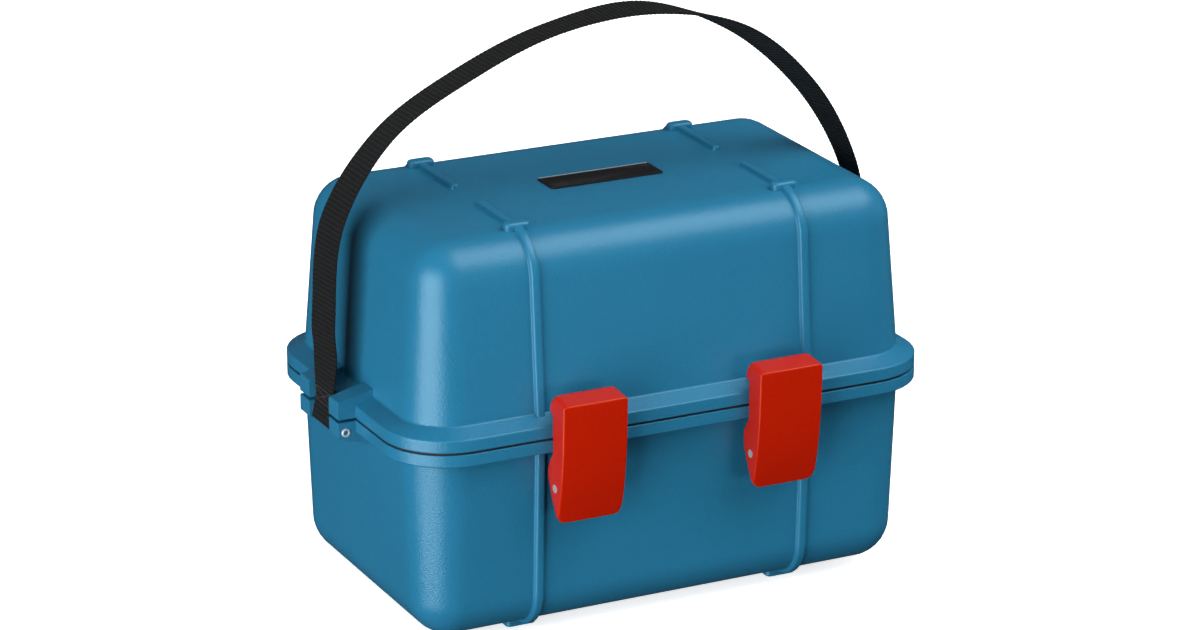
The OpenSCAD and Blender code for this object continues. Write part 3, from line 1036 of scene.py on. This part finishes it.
def foam_lid():
    """Convoluted foam: rows of soft peaks that press on the instrument."""
    shape = Shape()
    low, high = LID_FOAM_LOW.z, LID_FOAM_HIGH.z - FOAM_GAP
    long, short = 84, 50
    levels = [low + WAVE + 2.5, LID_ARC_Z, high - 12, high - 6, high - 2, high - 0.5, high]
    profile = foam_profile(LID_DRAFT, LID_ARC_Z, 1, levels)
    off, r, z = profile[0]

    def relief(x, y, share=1.0):
        peak = 0.5 + 0.5 * math.cos(2 * math.pi * x / WAVE_PITCH) * math.cos(2 * math.pi * y / WAVE_PITCH)
        return Vector((x, y, low + WAVE - WAVE * peak * share))

    steps = 8
    rims = []
    for k in range(1, steps + 1):
        inset = r * k / steps
        ring = outline(HALF_X + off - inset, HALF_Y + off - inset, r - inset, 0, 10, long, short)
        rims.append([relief(p.x, p.y, min(1.0, k / 3)) for p in ring])
    shape.loft(rims[::-1] + rings_of(profile, long, short), False, True)
    a, b = HALF_X + off - r, HALF_Y + off - r
    shape.grid(lambda i, j: relief(-a + 2 * a * i / long, -b + 2 * b * j / short), long, short)
    finish_foam(shape, "lid_pad", "lid", "lid_foam")


def finish_foam(shape, name, body, node):
    obj = shape.make(name, [case_foam], 50)
    place(obj, body, node)


# ---------------------------------------------------------------- strap

# The webbing's middle line over the case, (x, z), and its twist there in degrees: above 0, the
# rear edge turns inwards
ARCH = [
    (-168.5, 152, -6.5), (-169, 175, -6.5), (-162.5, 228, -5), (-131, 273, 2.5), (-82.5, 301.3, 2.5),
    (-29, 320.3, 3), (29.5, 325.2, -2), (85.5, 307, 15), (128, 270.3, 12.5), (155.5, 225.2, 2),
    (168.7, 175, -8.5), (168.5, 152, 0)
]
# The end loops: the height where the two layers part, and where the inner and the outer one stop
LOOP_TOP, INNER_END, OUTER_END = 124.0, 133.5, 132.5
# The stitched box: bottom, top and margin to the webbing's edges, and the length of a stitch
STITCH_LOW, STITCH_HIGH, STITCH_MARGIN, STITCH_L = 123.6, 131.8, 2.4, 2.6
# A stitch's radius at shares of its length
STITCH_SHAPE = ((0.08, 0.1), (0.14, 0.2), (0.3, 0.27), (0.7, 0.27), (0.86, 0.2), (0.92, 0.1))
RIB_STEPS = 6


def strap_line():
    """Middle line from one sewn end to the other, with the twist: (x, z, twist)."""
    turn_r = SHANK_R + 0.15 + STRAP_T / 2
    layer = STRAP_T / 2 + 0.05

    def end(side):
        loop = [(side * (STRAP_X - layer), INNER_END, 0), (side * (STRAP_X - layer), LOOP_TOP, 0)]
        for a in (200, 235, 270, 305, 340):
            t = math.radians(a)
            loop.append((side * (STRAP_X + turn_r * math.cos(t)), RIVET_Z + turn_r * math.sin(t), 0))
        loop += [(side * (STRAP_X + layer), LOOP_TOP, 0), (side * (STRAP_X + layer), OUTER_END, 0)]
        return loop

    points = end(-1) + ARCH + end(1)[::-1]
    return spline(points, 24)


def resample(line, step):
    """Points a step apart along the line's first two coordinates."""
    out = [line[0]]
    need = step
    for a, b in zip(line, line[1:]):
        span = (b - a).xy.length
        done = 0.0
        while span - done >= need:
            done += need
            out.append(a.lerp(b, done / span))
            need = step
        need -= span - done
    return out


def strap_section():
    """(across, thickness share) of the webbing, with thinner rounded edges."""
    half = STRAP_W / 2
    upper = [(-half + 0.15, 0.55), (-half + 0.7, 0.9)]
    upper += [(-half + 1.6 + (STRAP_W - 3.2) * k / 8, 1.0) for k in range(9)]
    upper += [(half - 0.7, 0.9), (half - 0.15, 0.55)]
    return [(-half, 0.0)] + upper + [(half, 0.0)] + [(w, -n) for w, n in upper[::-1]]


def stitching(shape):
    """A box of stitches with a cross in it, through the two layers at each end."""
    half = STRAP_W / 2 - STITCH_MARGIN
    a, b, c, d = (-half, STITCH_LOW), (half, STITCH_LOW), (-half, STITCH_HIGH), (half, STITCH_HIGH)
    face = STRAP_X + STRAP_T + 0.1
    angles = [math.pi * n / 3 for n in range(6)]
    for side in (-1, 1):
        for start, stop in ((a, b), (c, d), (a, c), (b, d), (a, d), (c, b)):
            start, stop = Vector((side * face, *start)), Vector((side * face, *stop))
            way = (stop - start).normalized()
            out = way.cross(Vector((1, 0, 0)))
            count = round((stop - start).length / STITCH_L)
            pitch = (stop - start).length / count
            for k in range(count):
                rings = []
                for share, r in STITCH_SHAPE:
                    middle = start + way * (pitch * (k + share))
                    rings.append([middle + out * (r * math.cos(t)) + Vector((r * math.sin(t), 0, 0))
                                  for t in angles])
                shape.loft(rings, material=1)


def strap():
    """The whole strap, ribbed across, from one sewn end to the other."""
    step = RIB_PITCH / RIB_STEPS
    line = resample(strap_line(), step)
    section = strap_section()
    rings, along, across = [], [], []
    for k, p in enumerate(line):
        before, after = line[max(k - 1, 0)], line[min(k + 1, len(line) - 1)]
        tangent = Vector((after.x - before.x, 0, after.y - before.y)).normalized()
        out = Vector((-tangent.z, 0, tangent.x))
        twist = math.radians(p.z)
        width = Vector((0, math.cos(twist), 0)) - out * math.sin(twist)
        normal = tangent.cross(width)
        thick = STRAP_T / 2 * (0.97 + 0.12 * math.sin(2 * math.pi * k / RIB_STEPS))
        middle = Vector((p.x, 0, p.y))
        rings.append([middle + width * w + normal * (thick * n) for w, n in section])
        along += [k * step * MM] * len(section)
        across += [w * MM for w, n in section]
    shape = Shape()
    shape.loft(rings)
    stitching(shape)
    obj = shape.make("webbing", [strap_black, thread], 60, 0.0)
    unwoven = [0.0] * (len(shape.points) - len(along))
    for key, values in (("along", along + unwoven), ("across", across + unwoven)):
        obj.data.attributes.new(key, "FLOAT", "POINT").data.foreach_set("value", values)
    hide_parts("strap_webbing", "strap_loop_left", "strap_loop_right")
    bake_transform(obj)


# ---------------------------------------------------------------- stage, lights and camera

FLOOR_HALF = 80.0
CASE_MIDDLE = Vector((0, 0, 0.13))


def stage():
    """A pale floor."""
    m, nodes, links, shader = new_material("paper")
    coords = nodes.new("ShaderNodeTexCoord").outputs["Object"]
    soft = noise_node(nodes, links, coords, 3.0)
    paper = mix_colour(nodes, links, soft, (0.82, 0.82, 0.82), (0.86, 0.86, 0.86))
    links.new(paper, shader.inputs["Base Color"])
    shader.inputs["Roughness"].default_value = 0.9
    shader.inputs["Emission Color"].default_value = (1, 1, 1, 1)
    shader.inputs["Emission Strength"].default_value = 0.75
    mesh = bpy.data.meshes.new("floor")
    corners = [(x * FLOOR_HALF, y * FLOOR_HALF, 0) for x, y in ((-1, -1), (1, -1), (1, 1), (-1, 1))]
    mesh.from_pydata(corners, [], [(0, 1, 2, 3)])
    mesh.materials.append(m)
    floor = bpy.data.objects.new("floor", mesh)
    bpy.context.scene.collection.objects.link(floor)
    # the floor takes shadows and gives none back, like a cut-out studio sweep
    floor.visible_diffuse = False
    floor.visible_glossy = False
    floor.visible_shadow = False


def area_light(name, at, width, height, power, glossy=True):
    """A softbox aimed at the case. With glossy False it lights but isn't mirrored."""
    data = bpy.data.lights.new(name, "AREA")
    data.shape = "RECTANGLE"
    data.size, data.size_y, data.energy = width, height, power
    obj = bpy.data.objects.new(name, data)
    obj.location = at
    obj.rotation_euler = (CASE_MIDDLE - Vector(at)).to_track_quat("-Z", "Y").to_euler()
    obj.visible_camera = False
    obj.visible_glossy = glossy
    bpy.context.scene.collection.objects.link(obj)


def lights():
    area_light("left", (-1.33, -0.60, 0.15), 1.4, 1.6, 35)
    area_light("overhead", (0.80, -0.62, 1.74), 1.55, 1.3, 19)
    area_light("overhead_wide", (0.82, -0.64, 1.79), 3.0, 3.0, 46, False)
    area_light("front", (0.60, -2.0, 0.02), 0.6, 0.5, 7, False)
    area_light("right", (2.0, -0.1, 0.3), 1.0, 1.2, 12, False)
    area_light("rear", (0.35, 2.0, 0.3), 1.2, 1.4, 27, False)
    world = bpy.data.worlds.new("studio")
    world.use_nodes = True
    nodes, links = world.node_tree.nodes, world.node_tree.links
    height = nodes.new("ShaderNodeSeparateXYZ")
    links.new(nodes.new("ShaderNodeTexCoord").outputs["Generated"], height.inputs["Vector"])
    up = map_range(nodes, links, height.outputs["Z"], -0.3, 0.6, 0.03, 0.06)
    links.new(up, nodes["Background"].inputs["Strength"])
    nodes["Background"].inputs["Color"].default_value = (0.9, 0.95, 1, 1)
    bpy.context.scene.world = world


def camera():
    """A long lens from the front left, a little above the lid."""
    data = bpy.data.cameras.new("camera")
    data.lens = 132.8
    data.sensor_width = 36
    data.clip_end = 50
    obj = bpy.data.objects.new("camera", data)
    yaw, pitch = math.radians(-26.3), math.radians(19.25)
    obj.location = (-1.047, -2.118, 0.974)
    forward = Vector((-math.sin(yaw) * math.cos(pitch), math.cos(yaw) * math.cos(pitch), -math.sin(pitch)))
    obj.rotation_euler = forward.to_track_quat("-Z", "Y").to_euler()
    bpy.context.scene.collection.objects.link(obj)
    bpy.context.scene.camera = obj
    bpy.context.scene.view_settings.view_transform = "Standard"


base_shell()
lid_shell()
gasket()
pins()
latches()
label()
foam_cradle()
foam_floor()
foam_lid()
strap()
stage()
lights()
camera()
